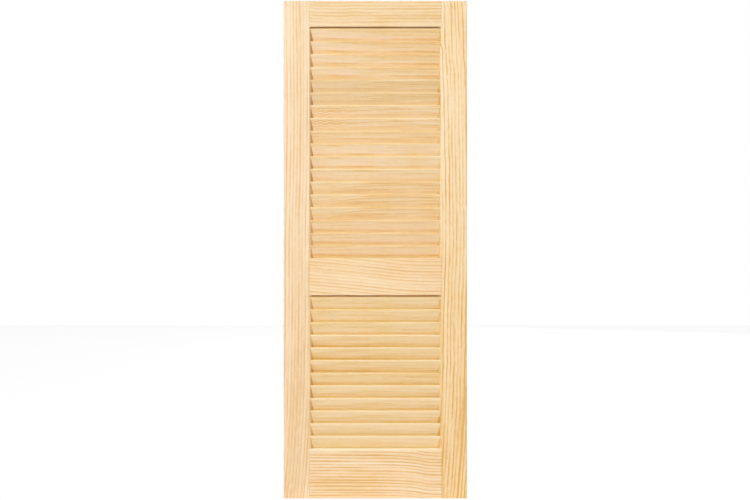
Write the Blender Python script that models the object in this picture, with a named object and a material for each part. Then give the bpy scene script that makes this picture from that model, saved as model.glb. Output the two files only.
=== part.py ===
"""Louvred pine wardrobe door, as a bare leaf ready to be hung.

Two stiles and three rails make the frame, joined by glued dowels. Two banks of fixed slats are let
into slots in the stiles. Units are metres and +Z is up. The front of the door faces -Y, and the
origin lies under the middle of the bottom edge.
"""

import math

import bmesh
import bpy
from mathutils import Vector

# Overall size of the door
DOOR_HEIGHT = 1.205
DOOR_WIDTH = 0.444
DOOR_THICKNESS = 0.028

# Frame members, measured on the front face
STILE_WIDTH = 0.0615
TOP_RAIL_HEIGHT = 0.0615
MID_RAIL_HEIGHT = 0.0895
BOTTOM_RAIL_HEIGHT = 0.1205
LOWER_OPENING_HEIGHT = 0.3725
ARRIS_EASING = 0.0012

# Slats: the pitch is the one wanted, and each bank shares it out to fill its opening
SLAT_PITCH = 0.0309
SLAT_THICKNESS = 0.006
SLAT_TILT = math.radians(28.0)
SLAT_SETBACK = 0.0025
FIRST_SLAT_GAP = 0.0045
SLOT_DEPTH = 0.010

# Rail edges: a rear lip closes the gap above a bank, and a rear rebate lets its last slat in
LIP_COVER = 0.004
SLAT_CLEARANCE = 0.001

# Dowels between rails and stiles
DOWEL_DIAMETER = 0.010
DOWEL_LENGTH = 0.070
DOWEL_SPACING = 0.040
DOWEL_FLUTES = 8
FLUTE_DEPTH = 0.0004
DOWEL_TIP = 0.002
DOWEL_END_SPACE = 0.0015

# Clearance between pieces that fit together
FIT = 0.0003

# Facets on the round shapes, and the angle up to which they are shaded smooth
ARRIS_STEPS = 2
NOSE_STEPS = 3
HOLE_SIDES = 16
SMOOTH_ANGLE = math.radians(50.0)

# Colours are linear, and the roughness is that of sanded, unfinished wood
PINE_STILE = (0.90, 0.66, 0.39)
PINE_RAIL = (0.89, 0.65, 0.38)
PINE_SLAT = (0.85, 0.61, 0.33)
BEECH = (0.72, 0.48, 0.29)
WOOD_ROUGHNESS = 0.6

# Sizes that follow from those above
FRONT = -DOOR_THICKNESS / 2
BACK = DOOR_THICKNESS / 2
INNER_WIDTH = DOOR_WIDTH - 2 * STILE_WIDTH
MID_RAIL_BOTTOM = BOTTOM_RAIL_HEIGHT + LOWER_OPENING_HEIGHT
MID_RAIL_TOP = MID_RAIL_BOTTOM + MID_RAIL_HEIGHT
TOP_RAIL_BOTTOM = DOOR_HEIGHT - TOP_RAIL_HEIGHT
STILE_FACES = (("left", -INNER_WIDTH / 2), ("right", INNER_WIDTH / 2))

# A slat's long edges are rounded to nearly a half circle, and it spans the door less its setbacks
NOSE_RADIUS = 0.46 * SLAT_THICKNESS
SLAT_FLAT = SLAT_THICKNESS - 2 * NOSE_RADIUS
SLAT_DEPTH = DOOR_THICKNESS - 2 * SLAT_SETBACK
SLAT_SPINE = (SLAT_DEPTH - 2 * NOSE_RADIUS - SLAT_FLAT * math.cos(SLAT_TILT)) / math.sin(SLAT_TILT)
SLAT_WIDTH = SLAT_SPINE + 2 * NOSE_RADIUS
SLAT_RISE = SLAT_SPINE * math.cos(SLAT_TILT) + SLAT_FLAT * math.sin(SLAT_TILT) + 2 * NOSE_RADIUS


class Bank:
    """One opening's slats: how many there are, their pitch and where each one is."""

    def __init__(self, name, bottom, top):
        self.name = name
        self.bottom = bottom
        self.top = top
        filled = top - bottom - FIRST_SLAT_GAP
        self.count = max(1, round(filled / SLAT_PITCH))
        self.pitch = filled / self.count

    def centres(self):
        """Heights of the slats' middles, from the top of the opening down."""
        first = self.top - FIRST_SLAT_GAP - SLAT_RISE / 2
        return [first - i * self.pitch for i in range(self.count)]

    def lip_drop(self):
        """How far the rail above hangs down at the back, to hide the gap over the first slat."""
        return FIRST_SLAT_GAP + LIP_COVER

    def lip_front(self):
        """Where that rear lip starts, just behind the first slat."""
        above_middle = SLAT_RISE / 2 - LIP_COVER
        slat_back = SLAT_THICKNESS / 2 / math.cos(SLAT_TILT) - above_middle * math.tan(SLAT_TILT)
        return slat_back + SLAT_CLEARANCE

    def rebate_depth(self):
        """How deep the rail below is cut at the back, to let in the foot of the last slat."""
        return max(SLAT_RISE - self.pitch, 0.0) + SLAT_CLEARANCE

    def rebate_front(self):
        """Where that rebate starts, just in front of the last slat."""
        above_middle = SLAT_RISE / 2 - self.pitch
        slat_front = -SLAT_THICKNESS / 2 / math.cos(SLAT_TILT) - above_middle * math.tan(SLAT_TILT)
        return slat_front - SLAT_CLEARANCE


UPPER = Bank("upper", MID_RAIL_TOP, TOP_RAIL_BOTTOM)
LOWER = Bank("lower", BOTTOM_RAIL_HEIGHT, MID_RAIL_BOTTOM)


def clear_scene():
    for obj in list(bpy.data.objects):
        bpy.data.objects.remove(obj, do_unlink=True)


def add_collection(name, parent):
    collection = bpy.data.collections.new(name)
    parent.children.link(collection)
    return collection


def add_material(name, colour):
    material = bpy.data.materials.new(name)
    material.use_nodes = True
    shader = material.node_tree.nodes["Principled BSDF"]
    shader.inputs["Base Color"].default_value = (*colour, 1.0)
    shader.inputs["Roughness"].default_value = WOOD_ROUGHNESS
    shader.inputs["Metallic"].default_value = 0.0
    return material


def add_object(name, mesh, collection, place, turn=(0.0, 0.0, 0.0)):
    obj = bpy.data.objects.new(name, mesh)
    obj.location = place
    obj.rotation_euler = turn
    collection.objects.link(obj)
    return obj


def finish_piece(obj, material, parent):
    """Gives a piece of the door its material and hangs it on its empty, where it already is."""
    obj.data.materials.append(material)
    obj.parent = parent
    obj.matrix_parent_inverse = parent.matrix_basis.inverted()


def add_empty(name, collection, place, parent=None):
    empty = add_object(name, None, collection, place)
    empty.empty_display_size = 0.05
    if parent:
        empty.parent = parent
    return empty


def mesh_from(bm, name):
    """The finished mesh, smooth over its rounded edges and sharp elsewhere."""
    mesh = bpy.data.meshes.new(name)
    bm.to_mesh(mesh)
    bm.free()
    mesh.shade_smooth()
    mesh.set_sharp_from_angle(angle=SMOOTH_ANGLE)
    return mesh


def board_mesh(name, size, along, easing, steps):
    """A board with its four edges along one axis rounded."""
    bm = bmesh.new()
    bmesh.ops.create_cube(bm, size=1.0)
    bmesh.ops.scale(bm, vec=size, verts=bm.verts)
    long_edges = []
    for edge in bm.edges:
        way = edge.verts[1].co - edge.verts[0].co
        if abs(way.normalized()[along]) > 0.99:
            long_edges.append(edge)
    bmesh.ops.bevel(
        bm, geom=long_edges, offset=easing, segments=steps, profile=0.5, affect="EDGES"
    )
    return mesh_from(bm, name)


def eased(corners, easing):
    """The outline with its outer corners cut back. It runs anticlockwise, and inner corners stay."""
    points = []
    for i, corner in enumerate(corners):
        to_last = (corners[i - 1] - corner).normalized()
        to_next = (corners[(i + 1) % len(corners)] - corner).normalized()
        if to_next.cross(to_last) > 0:
            points.append(corner + to_last * easing)
            points.append(corner + to_next * easing)
        else:
            points.append(corner)
    return points


def profile_mesh(name, outline, length):
    """A closed mesh with this outline in its own XY plane, drawn out along its own Z."""
    curve = bpy.data.curves.new(name, "CURVE")
    curve.dimensions = "2D"
    curve.fill_mode = "BOTH"
    curve.extrude = length / 2
    spline = curve.splines.new("POLY")
    spline.points.add(len(outline) - 1)
    for point, place in zip(spline.points, outline):
        point.co = (place.x, place.y, 0.0, 1.0)
    spline.use_cyclic_u = True
    guide = bpy.data.objects.new(name, curve)
    bpy.context.scene.collection.objects.link(guide)
    graph = bpy.context.evaluated_depsgraph_get()
    drawn = bpy.data.meshes.new_from_object(guide.evaluated_get(graph))
    bpy.data.objects.remove(guide, do_unlink=True)
    bm = bmesh.new()
    bm.from_mesh(drawn)
    bmesh.ops.remove_doubles(bm, verts=bm.verts, dist=1e-6)
    bmesh.ops.recalc_face_normals(bm, faces=bm.faces)
    bpy.data.meshes.remove(drawn)
    return mesh_from(bm, name)


def round_bar_mesh(name, radius, length, sides):
    bm = bmesh.new()
    bmesh.ops.create_cone(
        bm, cap_ends=True, segments=sides, radius1=radius, radius2=radius, depth=length
    )
    return mesh_from(bm, name)


def dowel_mesh(name):
    """A fluted dowel: every other line of points is sunk, and both tips are tapered."""
    bm = bmesh.new()
    radius = DOWEL_DIAMETER / 2
    bmesh.ops.create_cone(
        bm, cap_ends=True, segments=2 * DOWEL_FLUTES, radius1=radius, radius2=radius, depth=DOWEL_LENGTH
    )
    for vert in bm.verts:
        line = round(math.atan2(vert.co.y, vert.co.x) / (math.pi / DOWEL_FLUTES))
        if line % 2:
            sunk = (radius - FLUTE_DEPTH) / radius
            vert.co = Vector((vert.co.x * sunk, vert.co.y * sunk, vert.co.z))
    shoulder = DOWEL_LENGTH / 2 - DOWEL_TIP
    for height in (-shoulder, shoulder):
        whole = bm.verts[:] + bm.edges[:] + bm.faces[:]
        bmesh.ops.bisect_plane(
            bm, geom=whole, plane_co=(0.0, 0.0, height), plane_no=(0.0, 0.0, 1.0)
        )
    tips = [vert for vert in bm.verts if abs(vert.co.z) > shoulder + DOWEL_TIP / 2]
    tip_size = (radius - DOWEL_TIP / 2) / radius
    bmesh.ops.scale(bm, vec=(tip_size, tip_size, 1.0), verts=tips)
    return mesh_from(bm, name)


def rail_outline(bottom, top, bank_below=None, bank_above=None):
    """A rail's section as (depth, height), with a rear lip over one bank and a rebate under the other."""
    corners = [Vector((FRONT, bottom))]
    back_bottom = bottom
    back_top = top
    if bank_below:
        back_bottom = bottom - bank_below.lip_drop()
        corners.append(Vector((bank_below.lip_front(), bottom)))
        corners.append(Vector((bank_below.lip_front(), back_bottom)))
    corners.append(Vector((BACK, back_bottom)))
    if bank_above:
        back_top = top - bank_above.rebate_depth()
    corners.append(Vector((BACK, back_top)))
    if bank_above:
        corners.append(Vector((bank_above.rebate_front(), back_top)))
        corners.append(Vector((bank_above.rebate_front(), top)))
    corners.append(Vector((FRONT, top)))
    return eased(corners, ARRIS_EASING)


def cut_by(obj, name, cutters):
    cut = obj.modifiers.new(name, "BOOLEAN")
    cut.operation = "DIFFERENCE"
    cut.solver = "EXACT"
    cut.operand_type = "COLLECTION"
    cut.collection = cutters


def hide_cutter(obj):
    obj.hide_render = True
    obj.display_type = "WIRE"


def dowel_heights(bottom, top):
    """Evenly shared heights of a rail's dowels, two or more of them."""
    count = max(2, round((top - bottom) / DOWEL_SPACING))
    step = (top - bottom) / count
    return [bottom + (i + 0.5) * step for i in range(count)]


def add_slats(bank, parts, cutters, material, parent):
    """A bank's slats, and for each the thicker bars that cut its slots, half in each stile."""
    empty = add_empty(bank.name + "_louvres", parts, (0.0, 0.0, bank.top), parent)
    reach = 2 * (SLOT_DEPTH - FIT)
    size = (INNER_WIDTH + reach, SLAT_THICKNESS, SLAT_WIDTH)
    slot = (2 * SLOT_DEPTH, SLAT_THICKNESS + 2 * FIT, SLAT_WIDTH + 2 * FIT)
    turn = (SLAT_TILT, 0.0, 0.0)
    for number, height in enumerate(bank.centres(), 1):
        name = f"{bank.name}_slat_{number:02d}"
        mesh = board_mesh(name, size, 0, NOSE_RADIUS, NOSE_STEPS)
        slat = add_object(name, mesh, parts, (0.0, 0.0, height), turn)
        finish_piece(slat, material, empty)
        for side, across in STILE_FACES:
            slot_name = f"{name}_slot_{side}"
            mesh = board_mesh(slot_name, slot, 0, NOSE_RADIUS + FIT, NOSE_STEPS)
            hide_cutter(add_object(slot_name, mesh, cutters, (across, 0.0, height), turn))


def add_dowels(rail_name, bottom, top, parts, cutters, material, parent):
    """A rail's dowels at both ends, and for each the bar that bores its hole in rail and stile."""
    turn = (0.0, math.pi / 2, 0.0)
    hole_length = DOWEL_LENGTH + 2 * DOWEL_END_SPACE
    for side, across in STILE_FACES:
        for number, height in enumerate(dowel_heights(bottom, top), 1):
            place = (across, 0.0, height)
            name = f"{rail_name}_dowel_{side}_{number}"
            dowel = add_object(name, dowel_mesh(name), parts, place, turn)
            finish_piece(dowel, material, parent)
            name += "_hole"
            mesh = round_bar_mesh(name, DOWEL_DIAMETER / 2 + FIT, hole_length, HOLE_SIDES)
            hide_cutter(add_object(name, mesh, cutters, place, turn))


def add_rail(name, outline, parts, dowel_holes, material, parent):
    """A rail drawn along X between the stiles: its own XY plane stands upright, across the door."""
    mesh = profile_mesh(name, outline, INNER_WIDTH - 2 * FIT)
    turn = (math.pi / 2, 0.0, math.pi / 2)
    rail = add_object(name, mesh, parts, (0.0, 0.0, 0.0), turn)
    finish_piece(rail, material, parent)
    cut_by(rail, "dowel_holes", dowel_holes)


def add_stile(name, side, parts, slots, dowel_holes, material, parent):
    size = (STILE_WIDTH, DOOR_THICKNESS, DOOR_HEIGHT)
    mesh = board_mesh(name, size, 2, ARRIS_EASING, ARRIS_STEPS)
    place = (side * (DOOR_WIDTH - STILE_WIDTH) / 2, 0.0, DOOR_HEIGHT / 2)
    stile = add_object(name, mesh, parts, place)
    finish_piece(stile, material, parent)
    cut_by(stile, "slots", slots)
    cut_by(stile, "dowel_holes", dowel_holes)


def main():
    clear_scene()
    scene = bpy.context.scene
    parts = add_collection("louvred_door", scene.collection)
    cutters = add_collection("cutters", scene.collection)
    slots = add_collection("slot_cutters", cutters)
    dowel_holes = add_collection("dowel_hole_cutters", cutters)

    stile_pine = add_material("pine_stile", PINE_STILE)
    rail_pine = add_material("pine_rail", PINE_RAIL)
    slat_pine = add_material("pine_slat", PINE_SLAT)
    dowel_beech = add_material("beech_dowel", BEECH)
    door = add_empty("door", parts, (0.0, 0.0, 0.0))

    for bank in (UPPER, LOWER):
        add_slats(bank, parts, slots, slat_pine, door)

    rails = (
        ("top_rail", TOP_RAIL_BOTTOM, DOOR_HEIGHT, UPPER, None),
        ("mid_rail", MID_RAIL_BOTTOM, MID_RAIL_TOP, LOWER, UPPER),
        ("bottom_rail", 0.0, BOTTOM_RAIL_HEIGHT, None, LOWER),
    )
    for name, bottom, top, bank_below, bank_above in rails:
        add_dowels(name, bottom, top, parts, dowel_holes, dowel_beech, door)
        outline = rail_outline(bottom, top, bank_below, bank_above)
        add_rail(name, outline, parts, dowel_holes, rail_pine, door)

    add_stile("left_stile", -1, parts, slots, dowel_holes, stile_pine, door)
    add_stile("right_stile", 1, parts, slots, dowel_holes, stile_pine, door)

    print(f"{UPPER.count} upper slats at {UPPER.pitch * 1000:.2f} mm")
    print(f"{LOWER.count} lower slats at {LOWER.pitch * 1000:.2f} mm")
    print(f"slat section {SLAT_WIDTH * 1000:.1f} x {SLAT_THICKNESS * 1000:.1f} mm")


main()
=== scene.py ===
# %% [markdown]
# A louvred pine door, dressed for its picture.
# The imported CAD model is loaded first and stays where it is: it is the frame that every piece of this
# lesson is set against. Each board is then modelled again with finer edges, over its own CAD node,
# and gets a pine of its own, because no two boards of a real door come from the same place in a tree.

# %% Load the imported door
import math

import bmesh
import bpy
from mathutils import Color, Euler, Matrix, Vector


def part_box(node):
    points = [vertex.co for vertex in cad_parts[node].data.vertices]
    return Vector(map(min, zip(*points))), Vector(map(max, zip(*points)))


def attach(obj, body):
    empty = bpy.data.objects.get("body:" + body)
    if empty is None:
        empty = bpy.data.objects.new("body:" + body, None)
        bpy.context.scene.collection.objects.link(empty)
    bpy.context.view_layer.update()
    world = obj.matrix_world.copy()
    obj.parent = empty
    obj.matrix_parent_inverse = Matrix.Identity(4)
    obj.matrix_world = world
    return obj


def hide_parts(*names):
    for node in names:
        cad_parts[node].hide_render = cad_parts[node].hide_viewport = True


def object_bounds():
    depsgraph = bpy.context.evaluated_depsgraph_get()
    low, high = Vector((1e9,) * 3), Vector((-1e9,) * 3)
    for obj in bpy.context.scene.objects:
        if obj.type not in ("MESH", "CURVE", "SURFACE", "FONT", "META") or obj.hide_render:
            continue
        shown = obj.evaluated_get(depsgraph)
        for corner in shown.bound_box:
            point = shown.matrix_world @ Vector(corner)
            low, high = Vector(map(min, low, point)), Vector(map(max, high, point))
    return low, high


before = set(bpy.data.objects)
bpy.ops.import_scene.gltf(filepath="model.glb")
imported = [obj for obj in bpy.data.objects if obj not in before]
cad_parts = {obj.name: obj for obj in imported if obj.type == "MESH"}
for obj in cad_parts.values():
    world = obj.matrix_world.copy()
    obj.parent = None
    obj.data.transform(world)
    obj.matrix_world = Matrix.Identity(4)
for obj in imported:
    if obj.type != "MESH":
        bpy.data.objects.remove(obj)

cad_low, cad_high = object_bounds()
print("CAD nodes:", len(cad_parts), "box:", list(cad_low), list(cad_high))

# %% [markdown]
# The tools of the bench.
# Every board starts as a cube that is added at its size and place. In edit mode its edges and faces
# are picked in code, by where they lie or which way they face, and a modelling operator does the
# rest, just as a hand with a mouse would. Everything else is deselected first, because an operator
# works on all that is selected.

# %% Bench tools: a block, and picking parts of it
def add_block(name, low, high):
    """A cube that fills the box between two corners, with its place and size in its mesh."""
    bpy.ops.object.select_all(action="DESELECT")
    middle = [(a + b) / 2 for a, b in zip(low, high)]
    size = [b - a for a, b in zip(low, high)]
    bpy.ops.mesh.primitive_cube_add(size=1.0, location=middle, scale=size)
    block = bpy.context.object
    block.name = name
    block.data.name = name
    bpy.ops.object.transform_apply(location=True, rotation=True, scale=True)
    return block


def select_only(piece):
    """Makes a piece the only one that operators work on."""
    bpy.ops.object.select_all(action="DESELECT")
    piece.select_set(True)
    bpy.context.view_layer.objects.active = piece


def pick(piece, kind, wanted):
    """Goes into edit mode with just the wanted parts selected. The kind is EDGE or FACE."""
    bpy.ops.object.mode_set(mode="EDIT")
    bpy.ops.mesh.select_mode(type=kind)
    bpy.ops.mesh.select_all(action="DESELECT")
    shape = bmesh.from_edit_mesh(piece.data)
    for part in shape.edges if kind == "EDGE" else shape.faces:
        part.select_set(wanted(part))
    bmesh.update_edit_mesh(piece.data)


print("blocks and picking ready")

# %% [markdown]
# Edges and surfaces.
# A bevel rounds the picked edges, most often the arrises, a board's outer corners. A Subdivision
# Surface would round a board too, but all of it, and the board would lose its size. The rounded edges
# are then shaded smooth, and weighted normals keep the flats beside them looking flat.

# %% Bench tools: rounding and finishing
X, Y, Z = range(3)
ALIGNED = 0.99
ARRIS_ANGLE = math.radians(60.0)
SMOOTH_ANGLE = math.radians(35.0)


def runs_along(edge, axis):
    """Whether an edge lies along one axis: X, Y or Z."""
    way = (edge.verts[1].co - edge.verts[0].co).normalized()
    return abs(way[axis]) > ALIGNED


def is_arris(edge):
    """Whether an edge is an outer corner, where a hand would feel it."""
    return edge.is_convex and edge.calc_face_angle(0.0) > ARRIS_ANGLE


def round_edges(width, steps):
    """Rounds the selected edges over this width, and goes back to object mode."""
    bpy.ops.mesh.bevel(offset=width, segments=steps, affect="EDGES")
    bpy.ops.object.mode_set(mode="OBJECT")


def finish_surface(piece):
    """Shades the rounded edges smooth and keeps the flats flat."""
    select_only(piece)
    bpy.ops.object.shade_smooth_by_angle(angle=SMOOTH_ANGLE)
    bpy.ops.object.modifier_add(type="WEIGHTED_NORMAL")
    weigh = piece.modifiers[-1]
    weigh.keep_sharp = True
    bpy.ops.object.modifier_apply(modifier=weigh.name)


print("rounding and finishing ready")

# %% [markdown]
# The slats.
# A louvre slat is a thin strip whose two long edges are planed to a round nose. It leans with its
# top edge to the front, so from the front each slat hides the gap above the next one. Its section
# could be drawn as a curve and extruded, but a cube needs no drawing: it is shaped upright, its four
# long edges are rounded until they nearly meet, and it is tipped over. The sizes come from the CAD
# node's box, which a tipped slat fills exactly.

# %% Model one slat
SLAT_TILT = math.radians(28.0)
SLAT_THICKNESS = 0.006
NOSE_SHARE = 0.46
NOSE_STEPS = 7

slat_low, slat_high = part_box("upper_slat_01")
nose_radius = NOSE_SHARE * SLAT_THICKNESS
nose_flat = SLAT_THICKNESS - 2 * nose_radius
slat_depth = slat_high.y - slat_low.y
slat_rise = slat_high.z - slat_low.z
slat_spine = slat_depth - 2 * nose_radius - nose_flat * math.cos(SLAT_TILT)
slat_width = slat_spine / math.sin(SLAT_TILT) + 2 * nose_radius


def model_slat(name, length, spare):
    """A slat round the origin, tipped forward. Spare makes it larger all round its section."""
    half = Vector((length, SLAT_THICKNESS + 2 * spare, slat_width + 2 * spare)) / 2
    slat = add_block(name, -half, half)
    pick(slat, "EDGE", lambda edge: runs_along(edge, X))
    round_edges(nose_radius + spare, NOSE_STEPS)
    slat.rotation_euler.x = SLAT_TILT
    bpy.ops.object.transform_apply(location=False, rotation=True, scale=False)
    return slat


pattern_slat = model_slat("pattern_slat", slat_high.x - slat_low.x, 0.0)
finish_surface(pattern_slat)
print(f"slat: {slat_width * 1000:.1f} mm wide, {len(pattern_slat.data.polygons)} faces")

# %% [markdown]
# The banks.
# Eighteen slats fill the upper opening and twelve the lower one. An Array modifier could space them
# out, but its copies would all be one object, and each slat of a door is a piece by itself. So each is
# a copy of the pattern slat with a mesh of its own, moved to the middle of its CAD node's box.

# %% Copy the slats into both banks
BANKS = {"upper": 18, "lower": 12}


def copy_to(pattern, name, place):
    """A copy with its own mesh, and its place in that mesh."""
    copy = pattern.copy()
    copy.data = pattern.data.copy()
    copy.name = name
    copy.data.name = name
    bpy.context.scene.collection.objects.link(copy)
    copy.location = place
    select_only(copy)
    bpy.ops.object.transform_apply(location=True, rotation=False, scale=False)
    return copy


slats = {}
for bank, count in BANKS.items():
    for number in range(1, count + 1):
        node = f"{bank}_slat_{number:02d}"
        low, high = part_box(node)
        slat = copy_to(pattern_slat, f"slat_{bank}_{number:02d}", (low + high) / 2)
        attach(slat, "root")
        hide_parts(node)
        slats[bank, number] = slat
bpy.data.objects.remove(pattern_slat)
print("slats:", len(slats))

# %% [markdown]
# The drills.
# Glued dowels hold each rail in both stiles, half in the one board and half in the other, and a joiner
# bores both boards for them. A drill here is a cylinder at a dowel's place, a little wider and longer
# than the dowel. Each hole could have a Boolean of its own, but a board's drills are joined into one
# cutter, so that the board is cut only once.

# %% Drills for the dowels
FIT = 0.0003
DRILL_SPARE = 0.0015
DRILL_SIDES = 24
QUARTER_TURN = math.radians(90.0)


def join_pieces(name, pieces):
    """Joins pieces into one object with this name."""
    select_only(pieces[0])
    for piece in pieces:
        piece.select_set(True)
    bpy.ops.object.join()
    whole = bpy.context.object
    whole.name = name
    return whole


def dowel_drills(name, words):
    """One cutter with a drill for every dowel whose node has these words in its name."""
    drills = []
    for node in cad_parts:
        if words in node:
            low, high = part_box(node)
            bpy.ops.mesh.primitive_cylinder_add(
                vertices=DRILL_SIDES,
                radius=(high.z - low.z) / 2 + FIT,
                depth=high.x - low.x + 2 * DRILL_SPARE,
                location=(low + high) / 2,
                rotation=(0.0, QUARTER_TURN, 0.0),
            )
            drills.append(bpy.context.object)
    return join_pieces(name, drills)


def cut_away(piece, cutter):
    """Takes a cutter's shape away from a piece, and removes the cutter."""
    cut = piece.modifiers.new(cutter.name, "BOOLEAN")
    cut.solver = "EXACT"
    cut.object = cutter
    select_only(piece)
    bpy.ops.object.modifier_apply(modifier=cut.name)
    bpy.data.objects.remove(cutter)


print("dowels to drill for:", sum("_dowel_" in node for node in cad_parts))

# %% [markdown]
# The mouldings.
# Between the rails a stile's inner edge is moulded: it rounds over from the front and then slants into
# the opening, so a sliver of it shows beside every slat, wider towards the slat's foot. A strip could
# be laid on, but a moulding is part of its stile, and a strip would show a seam. So a stile's block is
# bisected where the openings begin and along the moulding, the inner faces are extruded on the spot,
# and what lies behind each cut is pushed a little further out.

# %% Mould a stile's inner edge
RAIL_GAP = 0.0045
FRONT_DROP = 0.0009
MOULDING = [(0.0010, 0.0012), (0.0024, 0.0030), (0.0050, 0.0047), (0.0100, 0.0067), (0.0180, 0.0096)]
SAME_PLACE = 0.00001

openings = []
for bank, rail_below in (("upper", "mid_rail"), ("lower", "bottom_rail")):
    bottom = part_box(rail_below)[1].z + FIT
    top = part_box(f"{bank}_slat_01")[1].z + RAIL_GAP - FRONT_DROP - FIT
    openings.append((bottom, top))


def split_piece(piece, axis, place):
    """Cuts a piece through square to an axis at this place, and keeps both halves."""
    normal = Vector((0.0, 0.0, 0.0))
    normal[axis] = 1.0
    bpy.ops.object.mode_set(mode="EDIT")
    bpy.ops.mesh.select_all(action="SELECT")
    bpy.ops.mesh.bisect(plane_co=normal * place, plane_no=normal)
    bpy.ops.object.mode_set(mode="OBJECT")


def mould_openings(stile, inner_side):
    """Pushes a stile's inner face out into both openings, further at each depth of the moulding."""
    for depth, reach in MOULDING:
        split_piece(stile, Y, cad_low.y + depth)
    for bottom, top in openings:
        split_piece(stile, Z, bottom)
        split_piece(stile, Z, top)

    def in_opening(face):
        height = face.calc_center_median().z
        inner = face.normal.x * inner_side > ALIGNED
        return inner and any(bottom < height < top for bottom, top in openings)

    pick(stile, "FACE", in_opening)
    bpy.ops.mesh.extrude_region_move(TRANSFORM_OT_translate={"value": (0.0, 0.0, 0.0)})
    bpy.ops.mesh.select_mode(type="VERT")
    reached = 0.0
    for depth, reach in MOULDING:
        shape = bmesh.from_edit_mesh(stile.data)
        for vert in shape.verts:
            vert.select_set(vert.select and vert.co.y > cad_low.y + depth - SAME_PLACE)
        shape.select_flush_mode()
        bmesh.update_edit_mesh(stile.data)
        bpy.ops.transform.translate(value=(inner_side * (reach - reached), 0.0, 0.0))
        reached = reach
    bpy.ops.mesh.select_all(action="SELECT")
    bpy.ops.mesh.remove_doubles(threshold=SAME_PLACE)
    bpy.ops.object.mode_set(mode="OBJECT")


for bottom, top in openings:
    print(f"opening: {(top - bottom) * 1000:.1f} mm high")

# %% [markdown]
# The stiles.
# The two uprights run the full height of the door. Their arrises are eased with a few strokes of
# sandpaper, and their moulded inner edges are routed with one slanting slot for each slat end. The
# slats could be sunk into plain wood, where nobody would see it, but real pieces can't share one place.
# So a Boolean cuts the slots with bars shaped like the slats but a little larger, all joined into one
# cutter, and every slat end sits in a pocket.

# %% Model the stiles
ARRIS = 0.0012
ARRIS_STEPS = 4
END_ARRIS = 0.0004
END_STEPS = 2
SLOT_DEPTH = 0.010


def slot_bars(name, face_x):
    """One cutter for a stile: a bar at each slat's height, half of it in the stile."""
    pattern = model_slat("slot_bar", 2 * SLOT_DEPTH, FIT)
    bars = []
    for slat in slats.values():
        corners = [Vector(corner) for corner in slat.bound_box]
        height = sum(corner.z for corner in corners) / len(corners)
        bars.append(copy_to(pattern, "slot_bar", (face_x, 0.0, height)))
    bpy.data.objects.remove(pattern)
    return join_pieces(name, bars)


def model_stile(name, node, inner_side):
    """A stile from its CAD node's box. Inner side is 1 where the opening lies to its right."""
    low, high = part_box(node)
    stile = add_block(name, low, high)
    middle = (low + high) / 2

    def is_eased(edge):
        place = (edge.verts[0].co + edge.verts[1].co) / 2
        inner_front = place.y < middle.y and (place.x - middle.x) * inner_side > 0
        return runs_along(edge, Z) and not inner_front

    pick(stile, "EDGE", is_eased)
    round_edges(ARRIS, ARRIS_STEPS)
    pick(stile, "EDGE", is_arris)
    round_edges(END_ARRIS, END_STEPS)
    mould_openings(stile, inner_side)
    cut_away(stile, slot_bars(name + "_slots", high.x if inner_side > 0 else low.x))
    cut_away(stile, dowel_drills(name + "_holes", "_dowel_left" if inner_side > 0 else "_dowel_right"))
    finish_surface(stile)
    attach(stile, "root")
    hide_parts(node)
    return stile


stile_left = model_stile("stile_left", "left_stile", 1)
stile_right = model_stile("stile_right", "right_stile", -1)
print("stile faces:", len(stile_left.data.polygons), len(stile_right.data.polygons))

# %% [markdown]
# Lips and ledges.
# A rail's section has steps. A block could be joined on for each, but that would leave faces inside the
# wood. So a rail starts as one plain block, which is bisected where a lip or a rebate begins, and the
# faces beyond the cut are extruded: the lip downwards at the back, the front edge upwards at the front.
# A front edge that is rounded in a way of its own is picked by its height.

# %% Tools for the rails
def draw_out(rail, way, cut, length):
    """Cuts a rail at a depth, and draws its front out upwards (way 1) or its back downwards (way -1)."""
    split_piece(rail, Y, cut)

    def beyond_cut(face):
        return face.normal.z * way > ALIGNED and (cut - face.calc_center_median().y) * way > 0

    pick(rail, "FACE", beyond_cut)
    bpy.ops.mesh.extrude_region_move(TRANSFORM_OT_translate={"value": (0.0, 0.0, way * length)})
    bpy.ops.object.mode_set(mode="OBJECT")


def round_front_edge(rail, front, height, width, steps):
    """Rounds the edge that runs along a rail's front at this height."""
    def is_front_edge(edge):
        place = edge.verts[0].co
        at_height = abs(place.z - height) < SAME_PLACE
        return runs_along(edge, X) and at_height and place.y < front + SAME_PLACE

    pick(rail, "EDGE", is_front_edge)
    round_edges(width, steps)


print("rail tools ready")

# %% [markdown]
# The rails.
# Three cross boards hold the stiles apart. A rail over a bank has a lip along its back that hangs
# behind the first slat, so no light shows over it, and a rail under a bank is rebated at the back to
# let the last slat's foot in. The front edge of a ledge, below a bank, is rounded over further than the
# others. The one over a bank is left nearly sharp, and hangs a hair lower than the solid's, so that the
# gap under it is a fine line.

# %% Model the rails
LIP_COVER = 0.004
SLAT_CLEARANCE = 0.001
LEDGE_ARRIS = 0.0026
half_slope = SLAT_THICKNESS / 2 / math.cos(SLAT_TILT)
lip_drop = RAIL_GAP + LIP_COVER
lip_front = half_slope - (slat_rise / 2 - LIP_COVER) * math.tan(SLAT_TILT) + SLAT_CLEARANCE


def pitch_of(bank):
    """How far apart a bank's slats are."""
    first_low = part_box(f"{bank}_slat_01")[0]
    second_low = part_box(f"{bank}_slat_02")[0]
    return first_low.z - second_low.z


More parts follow.
